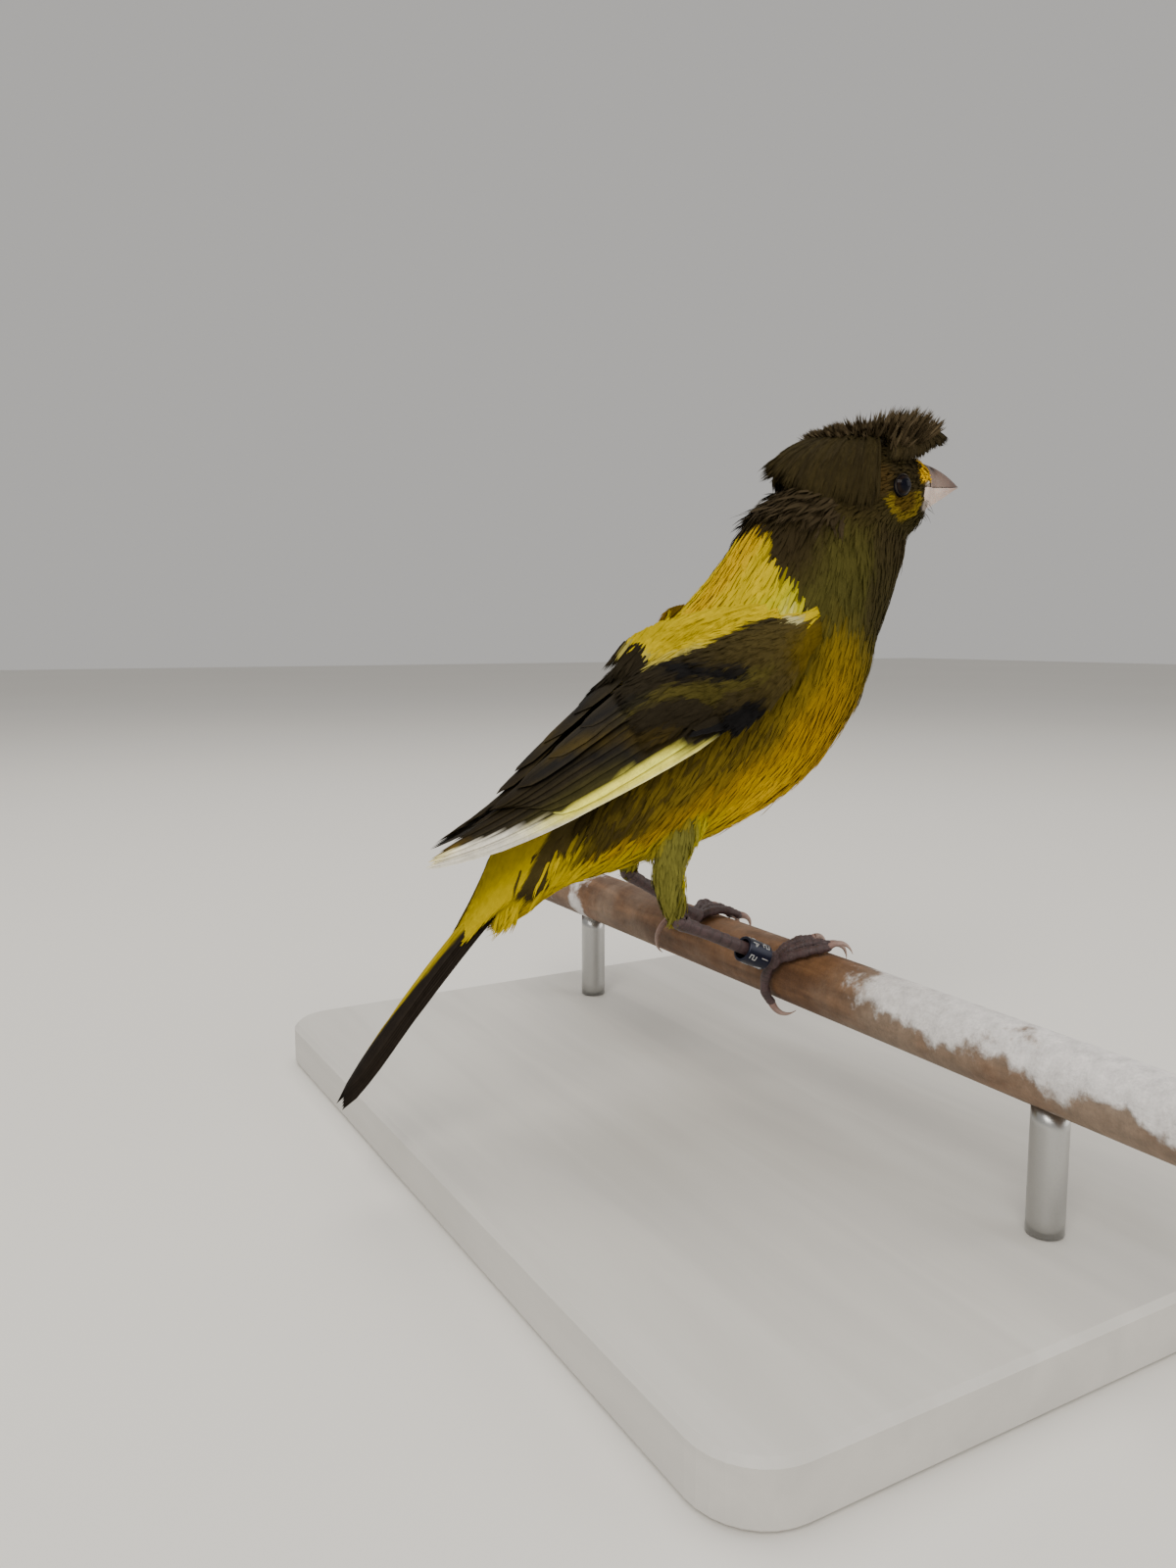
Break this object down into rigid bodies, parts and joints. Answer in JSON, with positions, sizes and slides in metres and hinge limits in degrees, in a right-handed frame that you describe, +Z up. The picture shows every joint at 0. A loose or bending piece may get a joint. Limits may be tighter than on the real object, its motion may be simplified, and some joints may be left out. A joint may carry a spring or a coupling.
{
  "type": "crested canary",
  "caption": "Crested canary as a still, life-size model, yellow with olive and black, gripping a cut length of round wooden perch on a flat base with short rods.",
  "frame": {"origin": "centre of the flat underside of the stand's base", "axes": "+Z up, +X the way the bird's body heads, +Y to the bird's left along the perch"},
  "size_m": [0.1225, 0.172, 0.126],
  "materials": {
    "base_paint": "matt paint, warm pale grey",
    "rod_steel": "brushed",
    "perch_wood": "worn, grey-brown, with pale smears",
    "plumage_yellow": "soft feathers, golden yellow with olive streaks",
    "plumage_olive": "soft feathers, olive",
    "plumage_dark": "feathers, brownish black with olive edges",
    "bill_upper": "smooth horn, greyish pink-brown",
    "bill_lower": "smooth horn, pale pink",
    "eye": "wet and glossy, black",
    "leg_scales": "scaly skin, dark purplish brown",
    "claw_horn": "smooth horn, pale pinkish",
    "ring_metal": "anodised, blue-black with pale numerals"
  },
  "bodies": {
    "root": {"stand_base": "base_paint", "stand_rod_near": "rod_steel", "stand_rod_far": "rod_steel", "perch": "perch_wood", "torso": "plumage_yellow", "rump": "plumage_yellow", "neck": "plumage_olive", "head": "plumage_olive", "bill_upper": "bill_upper", "bill_lower": "bill_lower", "eye_right": "eye", "eye_left": "eye", "crest": "plumage_dark", "wing_right": "plumage_dark", "wing_left": "plumage_dark", "tail": "plumage_dark", "thigh_right": "plumage_olive", "leg_right": "leg_scales", "claw_right_hind": "claw_horn", "claw_right_inner": "claw_horn", "claw_right_middle": "claw_horn", "claw_right_outer": "claw_horn", "thigh_left": "plumage_olive", "leg_left": "leg_scales", "claw_left_hind": "claw_horn", "claw_left_inner": "claw_horn", "claw_left_middle": "claw_horn", "claw_left_outer": "claw_horn", "leg_ring": "ring_metal"}
  },
  "joints": []
}
